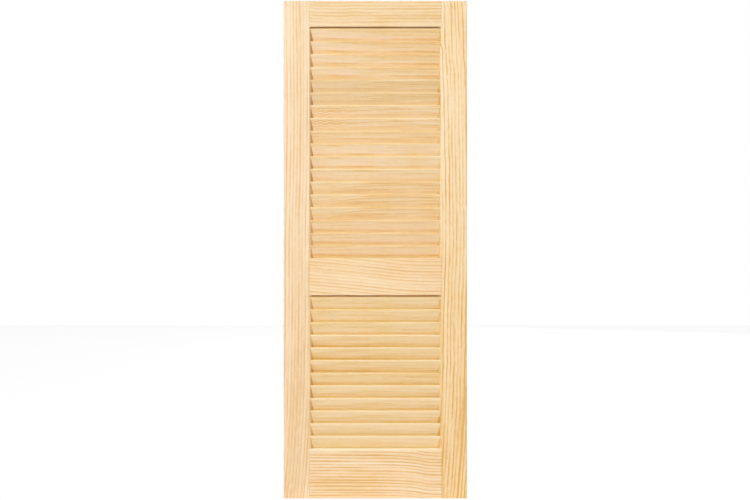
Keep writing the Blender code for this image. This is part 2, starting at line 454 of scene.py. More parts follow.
def model_rail(name, node, bank_below, bank_above):
    """A rail from its CAD node's box, with its lip and rebate for the banks that it meets."""
    low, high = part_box(node)
    lip = lip_drop - FRONT_DROP if bank_below else 0.0
    sunk = slat_rise - pitch_of(bank_above) + SLAT_CLEARANCE if bank_above else 0.0
    rail = add_block(name, (low.x, low.y, low.z + lip), (high.x, high.y, high.z - sunk))
    if bank_below:
        draw_out(rail, -1, lip_front, lip)
        round_front_edge(rail, low.y, low.z + lip, END_ARRIS, END_STEPS)
    if bank_above:
        above_middle = slat_rise / 2 - pitch_of(bank_above)
        rebate_front = -half_slope - above_middle * math.tan(SLAT_TILT) - SLAT_CLEARANCE
        draw_out(rail, 1, rebate_front, sunk)
        round_front_edge(rail, low.y, high.z, LEDGE_ARRIS, ARRIS_STEPS)
    pick(rail, "EDGE", lambda edge: runs_along(edge, X) and is_arris(edge))
    round_edges(ARRIS, ARRIS_STEPS)
    cut_away(rail, dowel_drills(name + "_holes", node + "_dowel"))
    finish_surface(rail)
    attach(rail, "root")
    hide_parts(node)
    return rail


rail_top = model_rail("rail_top", "top_rail", "upper", None)
rail_mid = model_rail("rail_mid", "mid_rail", "lower", "upper")
rail_bottom = model_rail("rail_bottom", "bottom_rail", None, "lower")
for rail in (rail_top, rail_mid, rail_bottom):
    print(rail.name, "faces:", len(rail.data.polygons))

# %% [markdown]
# How pine gets its lines.
# A tree adds a ring each year: pale wood in spring, then a darker, orange line of late wood that ends
# sharply. A board is a flat cut through those rings, so its lines are where the rings meet its face.
# The finish copies that. The pattern is the distance from the pith, the middle of the tree, which lies
# somewhere beside the board, and rings that sway along the trunk give the waves and arches of real
# grain. It is worked out in depth, so the lines also run rightly over the edges and ends. A finish is a
# tree of shader nodes. Here a value on its way between nodes is a wire, and a sum with a wire in it adds
# the Math nodes for it, so that a finish can be written as plain sums.

# %% Wires: sums that add nodes
def feed(node, key, value):
    """Sets one input of a node, or links it where the value comes down a wire."""
    socket = node.inputs[key]
    if isinstance(value, Wire):
        node.id_data.links.new(value.socket, socket)
    else:
        socket.default_value = value


def add_node(tree, kind, *values, **settings):
    """A shader node with these settings, and with these values fed to its first inputs."""
    made = tree.nodes.new("ShaderNode" + kind)
    for name, value in settings.items():
        setattr(made, name, value)
    for number, value in enumerate(values):
        feed(made, number, value)
    return made


class Wire:
    """A value on its way between the nodes of a tree."""

    def __init__(self, socket):
        self.socket = socket
        self.tree = socket.id_data

    def through(self, kind, *others, **settings):
        """What comes out of a new node that this value and others go into."""
        return Wire(add_node(self.tree, kind, self, *others, **settings).outputs[0])

    def apply(self, operation, *others):
        """A Math node's result."""
        return self.through("Math", *others, operation=operation)

    def apply_vector(self, operation, *others):
        """A Vector Math node's result."""
        return self.through("VectorMath", *others, operation=operation)

    def __add__(self, other):
        return self.apply("ADD", other)

    def __sub__(self, other):
        return self.apply("SUBTRACT", other)

    def __rsub__(self, other):
        return Wire(add_node(self.tree, "Math", other, self, operation="SUBTRACT").outputs[0])

    def __mul__(self, other):
        return self.apply("MULTIPLY", other)

    def __truediv__(self, other):
        return self.apply("DIVIDE", other)

    def xyz(self):
        """A vector's three numbers."""
        return [Wire(socket) for socket in add_node(self.tree, "SeparateXYZ", self).outputs]

    def clamped(self):
        """The result of the last sum, kept between 0 and 1."""
        self.socket.node.use_clamp = True
        return self


print("wires ready")

# %% [markdown]
# Noise and colour.
# Wood is drawn out along its grain, so its noises are too: each has a few patches in a metre along the
# grain and many across it. A ramp turns a noise or a ring into levels, and a Mix node lays one colour
# over another. That node has sockets for every kind of data, and only the ones for colours are used.

# %% Noise, ramps and colours
NOISE_MIDDLE = 0.5
RAMP_MIDDLE = 0.5
MIX_FIRST = 6
MIX_SECOND = 7
MIX_RESULT = 2


def drawn_noise(vector, along, across, detail):
    """Noise from -0.5 to 0.5 with this many patches in a metre along the grain and across it."""
    noise = add_node(vector.tree, "TexNoise")
    feed(noise, "Vector", vector.apply_vector("MULTIPLY", (along, across, across)))
    feed(noise, "Scale", 1.0)
    feed(noise, "Detail", detail)
    return Wire(noise.outputs["Fac"]) - NOISE_MIDDLE


def line_noise(place):
    """Smooth noise from 0 to 1 along a line, one patch for each unit of length."""
    noise = add_node(place.tree, "TexNoise", noise_dimensions="1D")
    feed(noise, "W", place)
    feed(noise, "Scale", 1.0)
    feed(noise, "Detail", 0.0)
    return Wire(noise.outputs["Fac"])


def ramped(value, stops):
    """A value passed through a smooth ramp of (place, level) stops."""
    ramp = add_node(value.tree, "ValToRGB", value)
    ramp.color_ramp.interpolation = "EASE"
    elements = ramp.color_ramp.elements
    while len(elements) < len(stops):
        elements.new(RAMP_MIDDLE)
    for element, (place, level) in zip(elements, stops):
        element.position = place
        element.color = (level, level, level, 1.0)
    return Wire(ramp.outputs[0])


def mixed(share, first, second, blend="MIX"):
    """Two colours mixed by a share."""
    made = add_node(share.tree, "Mix", data_type="RGBA", blend_type=blend)
    feed(made, "Factor", share)
    feed(made, MIX_FIRST, first)
    feed(made, MIX_SECOND, second)
    return Wire(made.outputs[MIX_RESULT])


print("noise, ramps and colours ready")

# %% [markdown]
# One pine for every board.
# The grain is a node group, so it is drawn once, and every board uses it with settings of its own: how
# wide its rings are, how much they sway, how strong its late wood is. It could be painted on each board
# instead, but paint has no depth, and its lines would break off at the edges. The group's sockets come
# first, with a usual value for each setting.

# %% The pine's sockets
PINE_COLOURS = ("Earlywood", "Midwood", "Latewood")
PINE_NUMBERS = {
    "Ring Width": 0.008,
    "Sway": 0.008,
    "Ripple": 0.0010,
    "Uneven": 0.6,
    "Contrast": 1.0,
    "Broad": 0.5,
    "Streak": 0.5,
    "Strand": 0.6,
    "Mottle": 0.5,
    "Tone": 0.0,
    "Seed": 0.0,
}

pine_grain = bpy.data.node_groups.new("pine_grain", "ShaderNodeTree")
sockets = pine_grain.interface
sockets.new_socket("Vector", in_out="INPUT", socket_type="NodeSocketVector")
for name in PINE_COLOURS:
    sockets.new_socket(name, in_out="INPUT", socket_type="NodeSocketColor")
for name, value in PINE_NUMBERS.items():
    setting = sockets.new_socket(name, in_out="INPUT", socket_type="NodeSocketFloat")
    setting.default_value = value
sockets.new_socket("Color", in_out="OUTPUT", socket_type="NodeSocketColor")
for name in ("Roughness", "Height"):
    sockets.new_socket(name, in_out="OUTPUT", socket_type="NodeSocketFloat")
print("pine settings:", ", ".join(PINE_NUMBERS))

# %% [markdown]
# Rings and late wood.
# The rings are counted outwards from the pith. A Wave Texture makes rings too, but all of one width and
# strength. These sway slowly along the trunk, ripple more finely, with kinks in some places, and are of
# uneven widths. Late wood fills the end of each year, some years stronger than others, and it fades here
# and there along a line.

# %% Rings and late wood
LATE_PEAK = 0.90
LATE_STOPS = [(0.0, 0.10), (0.08, 0.0), (0.45, 0.12), (0.75, 0.60), (LATE_PEAK, 1.0), (1.0, 0.12)]
KINK_STOPS = [(0.0, 0.3), (0.45, 0.4), (0.75, 2.0)]
UNEVEN_PACE = 0.43
LATE_LEAST = 0.6
LATE_LUCK = 0.5
FADE_POWER = 2.5
NOISES = {
    "Sway": (3.2, 5.0, 0.0),
    "Ripple": (21.0, 30.0, 1.0),
    "Kink": (7.0, 16.0, 0.0),
    "Fade": (9.0, 80.0, 1.0),
    "Fibre": (11.0, 900.0, 2.0),
    "Streak": (5.0, 150.0, 1.0),
    "Patch": (4.0, 14.0, 0.0),
    "Strand": (9.0, 380.0, 1.0),
    "Mottle": (60.0, 150.0, 1.0),
    "Resin": (120.0, 1900.0, 0.0),
}


def count_rings(given, own):
    """How many rings lie between a point and the pith, which runs along X."""
    x, y, z = given["Vector"].xyz()
    sway = drawn_noise(own, *NOISES["Sway"]) * given["Sway"]
    kinks = ramped(drawn_noise(own, *NOISES["Kink"]) + NOISE_MIDDLE, KINK_STOPS)
    ripple = drawn_noise(own, *NOISES["Ripple"]) * given["Ripple"] * kinks
    radius = (y * y + z * z).apply("SQRT") + sway + ripple
    ring = radius / given["Ring Width"]
    return ring + line_noise(ring * UNEVEN_PACE + given["Seed"]) * given["Uneven"]


def late_wood(given, own, ring):
    """How strong the late wood is at a point in a ring."""
    luck = add_node(ring.tree, "TexWhiteNoise", noise_dimensions="1D")
    feed(luck, "W", ring.apply("FLOOR") + given["Seed"])
    strength = Wire(luck.outputs["Value"]) * LATE_LUCK + LATE_LEAST
    fade = (drawn_noise(own, *NOISES["Fade"]) + 1.0).apply("POWER", FADE_POWER)
    return ramped(ring.apply("FRACT"), LATE_STOPS) * (strength * fade) * given["Contrast"]


print("noises in the pine:", len(NOISES))

# %% [markdown]
# The whole grain.
# Fat and lean years, fibres, streaks, patches and short dashes of resin are added to the rings. The group
# gives a colour, a roughness and a height, all from the same rings and fibres.

# %% The pine itself, as one node group
SEED_STEPS = (3.17, 1.43, 2.29)
BROAD_PACE = 0.31
BROAD_START = 40.5
FIBRE_SHARE = 0.25
PATCH_SHARE = 0.35
RESIN_STOPS = [(0.0, 0.0), (0.70, 0.0), (0.80, 1.0)]
RESIN_SHARE = 0.2
RESIN_BROWN = (0.42, 0.20, 0.07, 1.0)
PINE_ROUGH = 0.70
LATE_ROUGH = -0.10
FIBRE_ROUGH = 0.16
LATE_HEIGHT = 0.5


def joined(x, y, z):
    """A vector from three numbers."""
    return x.through("CombineXYZ", y, z)


def late_share(given, own, ring, late, fibre):
    """How far a point's colour lies from early wood's, at 0, to late wood's, at 1."""
    broad = line_noise(ring * BROAD_PACE + (given["Seed"] + BROAD_START)) - NOISE_MIDDLE
    patch = drawn_noise(own, *NOISES["Patch"])
    share = late + fibre * FIBRE_SHARE + broad * given["Broad"] + patch * PATCH_SHARE
    for name in ("Streak", "Strand", "Mottle"):
        share = share + drawn_noise(own, *NOISES[name]) * given[name]
    return (share + given["Tone"]).clamped()


def build_pine(pine):
    """Pine from board coordinates: X runs along the grain, and the pith lies on that axis."""
    given = {socket.name: Wire(socket) for socket in pine.nodes.new("NodeGroupInput").outputs}
    result = pine.nodes.new("NodeGroupOutput")

    # Each board reads its own stretch of every noise
    own = given["Vector"].apply_vector("ADD", joined(*[given["Seed"] * step for step in SEED_STEPS]))
    ring = count_rings(given, own)
    late = late_wood(given, own, ring)
    fibre = drawn_noise(own, *NOISES["Fibre"])
    dash = ramped(drawn_noise(own, *NOISES["Resin"]) + NOISE_MIDDLE, RESIN_STOPS) * RESIN_SHARE

    first_half = late_share(given, own, ring, late, fibre) * 2.0
    colour = mixed(first_half, given["Earlywood"], given["Midwood"])
    colour = mixed(first_half - 1.0, colour, given["Latewood"])
    feed(result, "Color", mixed(dash, colour, RESIN_BROWN))
    feed(result, "Roughness", late * LATE_ROUGH + PINE_ROUGH + fibre * FIBRE_ROUGH)
    feed(result, "Height", late * LATE_HEIGHT + fibre - dash)


build_pine(pine_grain)
print("pine nodes:", len(pine_grain.nodes))

# %% [markdown]
# Where a board lay in the tree.
# A board's finish turns and shifts the pine so that the pith lies where this board was sawn from. Where a
# board's lines bend in a way of their own, a curve bends the pith along the board's length. A board can
# also be darker at one end or along one edge.

# %% Lie, bend and shade of a board
STANDING = (0.0, QUARTER_TURN, 0.0)
LYING = (0.0, 0.0, 0.0)
LEANING = (-SLAT_TILT, 0.0, 0.0)
CURVE_MIDDLE = 0.5


def board_box(points, turn):
    """The middle and the half size of a board along its own length, depth and width."""
    turned = [turn @ Vector(point) for point in points]
    low = Vector(map(min, *turned))
    high = Vector(map(max, *turned))
    return (low + high) / 2, (high - low) / 2


def bend_pith(vector, length, bends):
    """Moves the pith across the board by a curve of (share of the length, offset) points."""
    reach = 2 * max(abs(offset) for share, offset in bends)
    x, y, z = vector.xyz()
    curve = add_node(vector.tree, "FloatCurve")
    points = curve.mapping.curves[0].points
    while len(points) < len(bends):
        points.new(CURVE_MIDDLE, CURVE_MIDDLE)
    for point, (share, offset) in zip(points, bends):
        point.location = (share, CURVE_MIDDLE + offset / reach)
    curve.mapping.update()
    feed(curve, "Value", x / length + CURVE_MIDDLE)
    return joined(x, y, z - (Wire(curve.outputs[0]) - CURVE_MIDDLE) * reach)


def shade_board(local, tone, along, across):
    """A share of late wood that changes evenly along the board and across it, per metre."""
    x, y, z = local.xyz()
    return x * along + z * across + tone


print("a board stands, lies or leans")

# %% [markdown]
# Sanded arrises and sawn ends.
# Sandpaper leaves a board's arrises paler than its faces, and sawn ends soak up more light. The
# Geometry node's pointiness could find the arrises, but it changes with how finely a mesh is divided.
# So the distance to the board's edges makes the one paler and the other darker.

# %% Wear of a board
WEAR_REACH = 0.0025
WEAR_NOISE = (60.0, 200.0, 1.0)
END_DEPTH = 0.0006


def near(distance, reach):
    """1 at no distance, falling softly to 0 at the reach."""
    return distance.through("MapRange", 0.0, reach, 1.0, 0.0, interpolation_type="SMOOTHSTEP")


def sanded_and_sawn(local, half):
    """How far a point is on a sanded arris, and how far on a sawn end, each from 0 to 1."""
    to_end, to_face, to_edge = [size - part.apply("ABSOLUTE") for size, part in zip(half, local.xyz())]
    nearer = to_face.apply("MINIMUM", to_edge)
    further = to_face.apply("MAXIMUM", to_edge)
    to_arris = nearer.apply("MAXIMUM", further.apply("MINIMUM", to_end))
    uneven = drawn_noise(local, *WEAR_NOISE) * WEAR_REACH
    return near(to_arris + uneven, WEAR_REACH), near(to_end, END_DEPTH)


print(f"wear reaches {WEAR_REACH * 1000:.1f} mm from an arris")

# %% [markdown]
# Colours and finishes.
# Colours are picked on a screen, and a shader takes them in other numbers, so they are turned into
# those. A wood gives its shader a colour, a roughness and a fine bump from the same grain, so that light
# catches the lines that the eye sees.

# %% Make a wood finish
SCREEN_WHITE = 255
BUMP_DEPTH = 0.0002
BUMP_STRENGTH = 0.35


def srgb(*levels):
    """A colour picked on a screen, as the linear values that a shader takes."""
    seen = Color([level / SCREEN_WHITE for level in levels])
    return (*seen.from_srgb_to_scene_linear(), 1.0)


def new_finish(name):
    """A new material and its shader."""
    material = bpy.data.materials.new(name)
    material.use_nodes = True
    return material, material.node_tree.nodes["Principled BSDF"]


def object_place(tree):
    """Where a point is, in its object's own coordinates."""
    return Wire(add_node(tree, "TexCoord").outputs["Object"])


def finish_wood(shader, colour, roughness, height):
    """Gives a shader the colour, the roughness and the fine relief of a wood."""
    bump = add_node(shader.id_data, "Bump")
    feed(bump, "Strength", BUMP_STRENGTH)
    feed(bump, "Distance", BUMP_DEPTH)
    feed(bump, "Height", height)
    feed(shader, "Base Color", colour)
    feed(shader, "Roughness", roughness)
    feed(shader, "Normal", Wire(bump.outputs[0]))


print("wood finish ready")

# %% [markdown]
# One board, one pine.
# A board's pine is put together in the order of the work: first the wood with its own rings and colours,
# then sanding and sawing, then stains and painted light and shade, which tint parts of a board one after
# another.

# %% Make a pine for a board
SANDED = srgb(253, 236, 206)
SANDED_SHARE = 0.22
SAWN_SHARE = 0.4
SAWN_ROUGH = 0.15
WOOD_SPECULAR = 0.12


def dress_in_pine(piece, lie, pith, colours, tone, stains_and_painted_light, bends=(), box=None, **grain):
    """Gives a board its pine. The pith is (behind, across), measured from the board's middle."""
    material, shader = new_finish("pine_" + piece.name)
    tree = material.node_tree
    feed(shader, "Specular IOR Level", WOOD_SPECULAR)
    turn = Euler(lie)
    points = box or [vertex.co for vertex in piece.data.vertices]
    middle, half = board_box(points, turn.to_matrix())
    local = object_place(tree).through("Mapping", -middle, turn)
    vector = local.apply_vector("ADD", (0.0, -pith[0], -pith[1]))
    if bends:
        vector = bend_pith(vector, 2 * half.x, bends)

    wood = add_node(tree, "Group", vector, *colours, node_tree=pine_grain)
    feed(wood, "Tone", shade_board(local, *tone))
    for name, value in grain.items():
        feed(wood, name.replace("_", " ").title(), value)
    colour, rough, height = [Wire(socket) for socket in wood.outputs]

    sanded, sawn = sanded_and_sawn(local, half)
    colour = mixed(sanded * SANDED_SHARE, colour, SANDED)
    colour = mixed(sawn * SAWN_SHARE, colour, colours[-1])
    # Stains, painted shade and painted light: each mask tints its part of the board.
    for mask, tint, blend, share in stains_and_painted_light:
        colour = mixed(mask(local, half) * share, colour, tint, blend)
    finish_wood(shader, colour, rough + sawn * SAWN_ROUGH, height)
    piece.data.materials.clear()
    piece.data.materials.append(material)


print("pine for a board ready")

# %% [markdown]
# Painted shade on the stiles.
# A real door isn't tinted evenly, and here shade is painted in too. The mouldings get a warm golden tint
# on the left stile and a tan one on the right, for the colour of their shade, and the left one brown
# painted shade that grows towards the top of the door. Their faces could get a finish of their own, but
# it would end in a hard line. A stain is a mask that fades, from the board's own coordinates: only the
# mouldings lie outside a stile's plain box.

# %% Masks for the stiles
MOULDING_FROM = 0.0024
MOULDING_FADE = 0.0014
MOULDING_SHARE = 0.42
MOULDING_RISE = 1.6
INNER_REACH = 0.009
INNER_SHARE = 0.4
INNER_RISE = -4.0


def on_moulding(local, half):
    """1 on a stile's mouldings, but further in on the right one."""
    across = local.xyz()[Z]
    start = across.apply("GREATER_THAN", 0.0) * MOULDING_FROM
    outside = across.apply("ABSOLUTE") - half.z - start
    return near(MOULDING_FADE - outside, MOULDING_FADE)


def rising_share(local, level, rise):
    """A share between 0 and 1 that has this level half-way along a board and changes along it."""
    return shade_board(local, level, rise, 0.0).clamped()


# The mask for brown painted shade on the left moulding, with more of it high on the door.
def high_on_moulding(local, half):
    """1 on the mouldings at the top of the door, less towards its foot."""
    return on_moulding(local, half) * rising_share(local, MOULDING_SHARE, MOULDING_RISE)


def inside_edge(local, half):
    """How far a point is inside the right stile's inner edge, or below a slat's lip or a rail's top."""
    return half.z - local.xyz()[Z]


def low_on_inner_edge(local, half):
    """1 along the right stile's inner edge, up to its moulding, in the lower half of the door."""
    edge = near(inside_edge(local, half), INNER_REACH)
    plain = 1.0 - on_moulding(local, half)
    return edge * rising_share(local, INNER_SHARE, INNER_RISE) * plain


print("stile stains: mouldings and inner edge")

# %% [markdown]
# Painted light and shade on the rails and slats.
# The grooves under the rails, behind their front faces, get brown painted shade, and the feet of the
# lower slats golden painted shade. Painted light makes the upper slats' feet, the last slats' feet, the
# first slats' lips and the bottom rail's ledge paler. A foot begins some way below a slat's lip.

# %% Masks for the rails and slats
GROOVE_HEIGHT = 0.002
GROOVE_FADE = 0.0016
GROOVE_DEPTH = 0.004
FOOT_FROM = 0.025
FOOT_FADE = 0.006


# The mask for brown painted shade under a rail.
def in_groove(drop):
    """A mask that is 1 under a rail, behind its front face, and on its lip down to this drop."""
    def mask(local, half):
        x, y, z = local.xyz()
        above = z + (half.z - lip_drop)
        low = near(above, GROOVE_HEIGHT)
        high = 1.0 - near(above + drop, GROOVE_FADE)
        behind = 1.0 - near(half.y - y.apply("ABSOLUTE"), GROOVE_DEPTH)
        return low * high * behind
    return mask


# The mask for painted light along a first slat's lip or the bottom rail's ledge.
def along_edge(reach):
    """A mask that is 1 along a slat's lip or a rail's top and fades out over this reach."""
    def mask(local, half):
        return near(inside_edge(local, half), reach)
    return mask


# The mask for painted light on the upper slats' feet and golden painted shade on the lower ones'.
def at_foot(local, half):
    """1 at a slat's foot, fading out towards its lip."""
    return near(FOOT_FROM + FOOT_FADE - inside_edge(local, half), FOOT_FADE)


print("rail and slat stains: grooves, lips, ledge and feet")

# %% [markdown]
# The stiles' boards.
# The two stiles come from two boards. The left one is the palest of the frame, with fine straight lines,
# and the right one is golden with bold wavy lines, and darker along its inner edge in the lower half.

# %% Pine for the stiles
PEACHY = (srgb(248, 226, 197), srgb(242, 213, 172), srgb(232, 190, 138))
GOLDEN = (srgb(250, 228, 196), srgb(244, 213, 163), srgb(229, 175, 98))
# Warm painted shade: the colour of shade on the left moulding.
MOULDING_WARM_SHADE = (1.06, 1.0, 0.78, 1.0)
# Tan painted shade for the right moulding, darker where it meets the slats.
MOULDING_TAN_SHADE = (0.95, 0.89, 0.69, 1.0)
# Brown painted shade for the left moulding, strongest near the top of the door.
MOULDING_BROWN_SHADE = (0.80, 0.73, 0.74, 1.0)
INNER_GOLD = (0.91, 0.83, 0.59, 1.0)

dress_in_pine(
    stile_left, STANDING, pith=(0.10, 0.25), colours=PEACHY, box=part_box("left_stile"),
    bends=[(0.0, 0.022), (0.12, 0.010), (0.25, 0.003), (0.5, 0.0), (1.0, 0.0)],
    tone=(0.28, -0.20, 0.0), ring_width=0.0073, sway=0.006, uneven=0.4, contrast=0.92, seed=1.0,
    stains_and_painted_light=[
        # Painted shade on the moulding: a warm golden tint all over, and brown towards the top.
        (on_moulding, MOULDING_WARM_SHADE, "MULTIPLY", 1.0),
        (high_on_moulding, MOULDING_BROWN_SHADE, "MULTIPLY", 1.0),
    ],
)
dress_in_pine(
    stile_right, STANDING, pith=(0.12, -0.28), colours=GOLDEN, box=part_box("right_stile"),
    bends=[
        (0.0, 0.022), (0.15, 0.0115), (0.25, 0.0068), (0.35, 0.0025), (0.45, -0.0004), (0.55, -0.003),
        (0.75, 0.0), (0.86, 0.0025), (0.89, 0.0055), (0.92, 0.0060), (1.0, 0.011),
    ],
    tone=(0.31, -0.25, -2.0), ring_width=0.0080, sway=0.008, ripple=0.0045, uneven=0.7, contrast=0.9,
    broad=0.4, seed=2.0,
    stains_and_painted_light=[
        # Painted shade on the moulding, then the darker inner edge.
        (on_moulding, MOULDING_TAN_SHADE, "MULTIPLY", 1.0),
        (low_on_inner_edge, INNER_GOLD, "MULTIPLY", 1.0),
    ],
)
print("stiles dressed")

# %% [markdown]
# The rails' boards.
# The three rails come from three more boards, and their lines run across the door. The grooves over the
# two banks get brown painted shade, the top one more, and painted light makes the bottom rail's ledge
# pale.

# %% Pine for the rails
HONEY = (srgb(246, 226, 193), srgb(240, 211, 168), srgb(228, 187, 120))
ROSY = (srgb(249, 226, 192), srgb(244, 211, 166), srgb(234, 190, 131))
APRICOT = (srgb(247, 227, 200), srgb(242, 209, 162), srgb(229, 180, 112))
# Brown painted shade in the grooves under the rails, darker under the top one.
GROOVE_BROWN_SHADE = (0.66, 0.50, 0.32, 1.0)
TOP_GROOVE_BROWN_SHADE = (0.50, 0.36, 0.24, 1.0)
TOP_GROOVE_DROP = 0.0028
# Painted light: the bottom rail's ledge, which faces the light from above, is made paler.
LEDGE_PAINTED_LIGHT = srgb(252, 231, 194)
LEDGE_HEIGHT = 0.010

dress_in_pine(
    rail_top, LYING, pith=(0.08, -0.22), colours=HONEY,
    bends=[(0.0, 0.004), (0.18, 0.0), (0.28, 0.0), (0.34, 0.0015), (0.42, 0.0), (1.0, 0.0005)],
    tone=(0.41, 0.0, 0.0), ring_width=0.0073, sway=0.007, ripple=0.0016, uneven=0.4, contrast=0.55,
    strand=0.4, mottle=0.3, seed=3.0,
    stains_and_painted_light=[(in_groove(TOP_GROOVE_DROP), TOP_GROOVE_BROWN_SHADE, "MULTIPLY", 1.0)],
)
dress_in_pine(
    rail_mid, LYING, pith=(0.07, -0.26), colours=ROSY,
    bends=[(0.0, 0.014), (0.2, 0.009), (0.5, 0.0), (0.8, -0.009), (1.0, -0.010)],
    tone=(0.34, 0.0, 0.0), ring_width=0.0075, sway=0.006, uneven=0.3, contrast=0.82, broad=0.2,
    strand=0.4, mottle=0.35, seed=4.0,
    stains_and_painted_light=[(in_groove(lip_drop), GROOVE_BROWN_SHADE, "MULTIPLY", 1.0)],
)
dress_in_pine(
    rail_bottom, LYING, pith=(0.06, 0.2438), colours=APRICOT,
    bends=[(0.0, 0.0), (0.4, 0.001), (0.65, 0.0), (0.8, -0.004), (0.92, -0.010), (1.0, -0.011)],
    tone=(0.27, 0.0, 0.0), ring_width=0.0072, sway=0.008, ripple=0.0018, uneven=0.8, contrast=1.05,
    broad=0.5, strand=0.4, mottle=0.3, seed=5.0,
    stains_and_painted_light=[(along_edge(LEDGE_HEIGHT), LEDGE_PAINTED_LIGHT, "MIX", 1.0)],
)
print("rails dressed")

# %% [markdown]
# Figures.
# A slat's figure is the pattern that its rings make on it. Where the rings are wide, one year's soft
# pale wood fills most of a slat and its late wood makes a band near the foot, so those figures are set by
# how far below the lip that band lies. Narrow rings give fine lines, still, swooping or in a zigzag.

# %% Figures for the slats
BUTTER = (srgb(245, 222, 194), srgb(239, 208, 156), srgb(228, 175, 106))
TAN = (srgb(243, 218, 181), srgb(238, 205, 153), srgb(229, 180, 110))
BLUSH = (srgb(244, 219, 184), srgb(238, 205, 156), srgb(228, 176, 104))
DRAB = (srgb(238, 214, 178), srgb(233, 202, 152), srgb(225, 178, 112))
WHEAT = (srgb(243, 218, 176), srgb(237, 204, 146), srgb(227, 178, 102))
PITH_BEHIND = 0.02
WIDE_YEARS = 8
SWOOP = [(0.0, 0.0), (0.1, 0.001), (0.25, 0.008), (0.4, 0.012), (1.0, 0.014)]
ZIGZAG = [
    (0.0, 0.0), (0.04, 0.002), (0.07, 0.0), (0.11, 0.0022), (0.14, 0.0), (0.18, 0.0022), (0.22, 0.0),
    (0.27, 0.002), (0.32, 0.0), (0.45, 0.001), (1.0, 0.0),
]
STILL = dict(pith=(PITH_BEHIND, 0.15), ring_width=0.006, contrast=0.15, broad=0.4, streak=0.5, sway=0.006)


def wide_rings(side, ring_width, below_lip, **looks):
    """Wide rings with a late band this far below the lip. The pith lies above (side 1) or below (-1)."""
    across = slat_width / 2 - below_lip + side * (WIDE_YEARS + LATE_PEAK) * ring_width
    return dict(
        pith=(PITH_BEHIND, across), ring_width=ring_width, uneven=0.0, broad=0.0, streak=0.6, sway=0.003,
        **looks,
    )


FIGURES = {
    "banded": wide_rings(
        -1, 0.032, 0.025, colours=BUTTER, contrast=0.55, ripple=0.0010, strand=1.2, tone=(0.26, 0.5, 14.0)
    ),
    "crowned": wide_rings(
        -1, 0.040, 0.027, colours=BUTTER, contrast=0.7, ripple=0.0010, strand=1.2, tone=(0.13, 0.0, 9.0)
    ),
    "blushing": wide_rings(
        -1, 0.040, 0.028, colours=BLUSH, contrast=0.65, ripple=0.0006, strand=1.2, tone=(0.26, 0.0, 5.0)
    ),
    "footed": wide_rings(
        1, 0.036, 0.024, colours=BUTTER, contrast=0.45, ripple=0.0006, tone=(0.22, 0.0, -6.0)
    ),
    "plain": dict(STILL, colours=DRAB, tone=(0.33, 0.0, 7.0)),
    "quiet": dict(STILL, colours=WHEAT, tone=(0.38, 0.0, 2.0)),
    "oval": dict(
        colours=BUTTER, pith=(0.03, 0.09), ring_width=0.0042, contrast=0.55, broad=0.4, streak=0.6,
        sway=0.010, ripple=0.002, bends=ZIGZAG, tone=(0.22, 0.0, 0.0),
    ),
    "streaky": dict(
        colours=TAN, pith=(PITH_BEHIND, 0.12), ring_width=0.008, contrast=0.25, broad=0.6, streak=0.9,
        sway=0.008, tone=(0.28, 0.0, 0.0),
    ),
    "swooping": dict(
        colours=TAN, pith=(PITH_BEHIND, 0.16), ring_width=0.0085, contrast=0.5, broad=0.3, streak=0.7,
        sway=0.004, ripple=0.0020, bends=SWOOP, tone=(0.30, 0.3, 0.0),
    ),
}
print("figures:", ", ".join(FIGURES))

# %% [markdown]
# Runs of slats.
# Slats are ripped from a board one after another, so neighbours in a door often show nearly the same
# figure. Each run here is a few slats with one figure, which drifts a little from slat to slat. The
# lower bank is from yellower boards than the upper one. Painted light makes the lip of a bank's first
# slat paler, under the rail that shades it, and the foot of its last one, which stands on a ledge. The
# other feet get painted light in the upper bank and golden painted shade in the lower one.

# %% Pine for the slats
RUNS = [
    ("upper", 1, 4, "banded", 10.0, 0.00),
    ("upper", 5, 6, "plain", 11.0, 0.00),
    ("upper", 7, 8, "oval", 12.0, 0.00),
    ("upper", 9, 9, "streaky", 13.0, 0.00),
    ("upper", 10, 11, "crowned", 14.0, 0.00),
    ("upper", 12, 12, "streaky", 15.0, 0.00),
    ("upper", 13, 15, "swooping", 16.0, 0.00),
    ("upper", 16, 18, "blushing", 17.0, 0.00),
    ("lower", 1, 3, "quiet", 18.0, 0.17),
    ("lower", 4, 6, "streaky", 19.0, 0.10),
    ("lower", 7, 7, "quiet", 22.0, 0.13),
    ("lower", 8, 10, "footed", 20.0, 0.20),
    ("lower", 11, 12, "quiet", 24.0, 0.42),
]
RUN_DRIFT = 0.0012
SLAT_GRAIN = dict(strand=1.3, mottle=0.4)
LIP_REACH = 0.006
# Painted light for a first slat's lip, which the rail over it shades.
LIP_PAINTED_LIGHT = srgb(253, 228, 170)
# Painted light for the upper slats' feet.
FOOT_PAINTED_LIGHT = srgb(246, 226, 176)
# Painted light for the foot of a bank's last slat, shaded by the ledge.
LAST_FOOT_PAINTED_LIGHT = srgb(255, 232, 168)
# Golden painted shade for the lower slats' feet.
FOOT_GOLD_SHADE = (0.97, 0.97, 0.75, 1.0)
FIRST_LIP_LIGHT = (along_edge(LIP_REACH), LIP_PAINTED_LIGHT, "MIX", 0.8)
LAST_FOOT_LIGHT = (at_foot, LAST_FOOT_PAINTED_LIGHT, "MIX", 1.0)
# Painted light on the upper feet, golden painted shade on the lower ones.
FOOT_LIGHT_AND_SHADE = {
    "upper": (at_foot, FOOT_PAINTED_LIGHT, "MIX", 0.85),
    "lower": (at_foot, FOOT_GOLD_SHADE, "MULTIPLY", 1.0),
}

